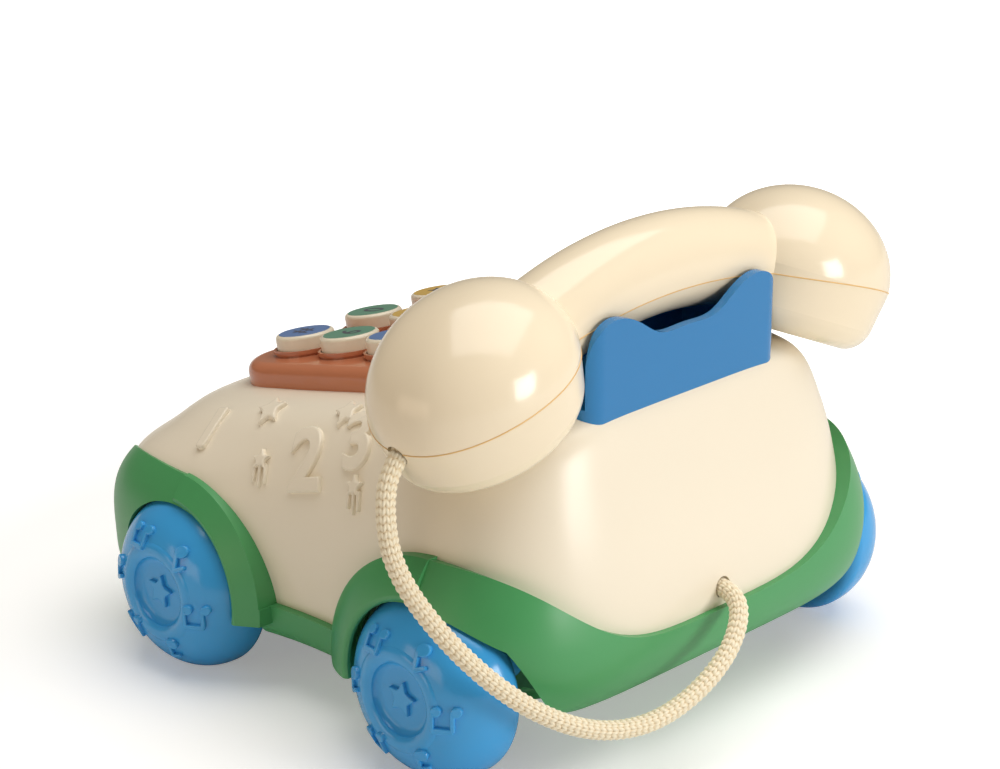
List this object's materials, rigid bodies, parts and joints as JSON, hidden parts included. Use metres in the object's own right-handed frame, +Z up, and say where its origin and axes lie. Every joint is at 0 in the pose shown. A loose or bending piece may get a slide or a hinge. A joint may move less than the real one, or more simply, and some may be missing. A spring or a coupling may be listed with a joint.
{
  "type": "toy telephone on wheels",
  "caption": "Car-shaped pull-along toy telephone with a sloping keypad, a lift-off handset in a cradle, a short knitted cord and rolling wheels.",
  "frame": {"origin": "centre of the footprint of the toy without its cord, on the floor under the wheels", "axes": "+X to the toy's left side, -Y to the front with the keypad, +Z up"},
  "size_m": [0.2014, 0.199, 0.1403],
  "materials": {
    "body_cream": "satin-gloss moulded cream plastic",
    "handset_cream": "glossy warm cream plastic",
    "chassis_green": "satin moulded green plastic",
    "moulded_blue": "glossy moulded blue plastic",
    "wheel_blue": "glossy moulded blue plastic",
    "panel_terracotta": "glossy terracotta plastic",
    "key_cream": "cream plastic cap with a printed coloured disc",
    "cord_knit": "knitted cream cord",
    "screw_steel": "plated steel",
    "sleeve_nylon": "white nylon",
    "mat_rubber": "grey silicone rubber",
    "board_laminate": "green circuit board laminate",
    "speaker_frame": "black pressed steel basket",
    "cell_jacket": "plain dark battery jacket",
    "switch_grey": "matt black plastic slider"
  },
  "bodies": {
    "base": {"body_shell": "body_cream", "chassis": "chassis_green", "handset_cradle": "moulded_blue", "cradle_screws": "screw_steel", "keypad_panel": "panel_terracotta", "key_mat": "mat_rubber", "circuit_board": "board_laminate", "board_screws": "screw_steel", "speaker": "speaker_frame", "battery_cover": "chassis_green", "battery_cover_screw": "screw_steel", "batteries": "cell_jacket", "battery_contacts": "screw_steel", "chassis_screws": "screw_steel", "cord": "cord_knit", "body_knot": "cord_knit", "front_axle_sleeves": "sleeve_nylon", "rear_axle_sleeves": "sleeve_nylon"},
    "handset": {"handset_upper_shell": "handset_cream", "handset_lower_shell": "handset_cream", "handset_screws": "screw_steel", "handset_knot": "cord_knit"},
    "front_wheelset": {"front_axle": "screw_steel", "front_left_wheel": "wheel_blue", "front_right_wheel": "wheel_blue"},
    "rear_wheelset": {"rear_axle": "screw_steel", "rear_left_wheel": "wheel_blue", "rear_right_wheel": "wheel_blue"},
    "power_slider": {"power_switch": "switch_grey"},
    "key_1": {"key_1": "key_cream"},
    "key_2": {"key_2": "key_cream"},
    "key_3": {"key_3": "key_cream"},
    "key_4": {"key_4": "key_cream"},
    "key_5": {"key_5": "key_cream"},
    "key_6": {"key_6": "key_cream"},
    "key_7": {"key_7": "key_cream"},
    "key_8": {"key_8": "key_cream"},
    "key_9": {"key_9": "key_cream"},
    "key_star": {"key_star": "key_cream"},
    "key_0": {"key_0": "key_cream"},
    "key_hash": {"key_hash": "key_cream"}
  },
  "joints": [
    {"name": "front_wheels_roll", "type": "hinge", "parent": "base", "child": "front_wheelset", "pos_m": [0, -0.044, 0.0265], "axis": [1, 0, 0], "continuous": true},
    {"name": "rear_wheels_roll", "type": "hinge", "parent": "base", "child": "rear_wheelset", "pos_m": [0, 0.056, 0.0265], "axis": [1, 0, 0], "continuous": true},
    {"name": "handset_lift", "type": "slide", "parent": "base", "child": "handset", "axis": [0, 0, 1], "range_m": [0, 0.06], "deforming": ["cord"]},
    {"name": "power_slide", "type": "slide", "parent": "base", "child": "power_slider", "axis": [1, 0, 0], "range_m": [-0.003, 0.003]},
    {"name": "press_1", "type": "slide", "parent": "base", "child": "key_1", "axis": [0, 0.2093, -0.9779], "range_m": [0, 0.002], "stiffness_N_per_m": 300, "springref_m": -0.001},
    {"name": "press_2", "type": "slide", "parent": "base", "child": "key_2", "axis": [0, 0.2093, -0.9779], "range_m": [0, 0.002], "stiffness_N_per_m": 300, "springref_m": -0.001},
    {"name": "press_3", "type": "slide", "parent": "base", "child": "key_3", "axis": [0, 0.2093, -0.9779], "range_m": [0, 0.002], "stiffness_N_per_m": 300, "springref_m": -0.001},
    {"name": "press_4", "type": "slide", "parent": "base", "child": "key_4", "axis": [0, 0.2093, -0.9779], "range_m": [0, 0.002], "stiffness_N_per_m": 300, "springref_m": -0.001},
    {"name": "press_5", "type": "slide", "parent": "base", "child": "key_5", "axis": [0, 0.2093, -0.9779], "range_m": [0, 0.002], "stiffness_N_per_m": 300, "springref_m": -0.001},
    {"name": "press_6", "type": "slide", "parent": "base", "child": "key_6", "axis": [0, 0.2093, -0.9779], "range_m": [0, 0.002], "stiffness_N_per_m": 300, "springref_m": -0.001},
    {"name": "press_7", "type": "slide", "parent": "base", "child": "key_7", "axis": [0, 0.2093, -0.9779], "range_m": [0, 0.002], "stiffness_N_per_m": 300, "springref_m": -0.001},
    {"name": "press_8", "type": "slide", "parent": "base", "child": "key_8", "axis": [0, 0.2093, -0.9779], "range_m": [0, 0.002], "stiffness_N_per_m": 300, "springref_m": -0.001},
    {"name": "press_9", "type": "slide", "parent": "base", "child": "key_9", "axis": [0, 0.2093, -0.9779], "range_m": [0, 0.002], "stiffness_N_per_m": 300, "springref_m": -0.001},
    {"name": "press_star", "type": "slide", "parent": "base", "child": "key_star", "axis": [0, 0.2093, -0.9779], "range_m": [0, 0.002], "stiffness_N_per_m": 300, "springref_m": -0.001},
    {"name": "press_0", "type": "slide", "parent": "base", "child": "key_0", "axis": [0, 0.2093, -0.9779], "range_m": [0, 0.002], "stiffness_N_per_m": 300, "springref_m": -0.001},
    {"name": "press_hash", "type": "slide", "parent": "base", "child": "key_hash", "axis": [0, 0.2093, -0.9779], "range_m": [0, 0.002], "stiffness_N_per_m": 300, "springref_m": -0.001}
  ]
}
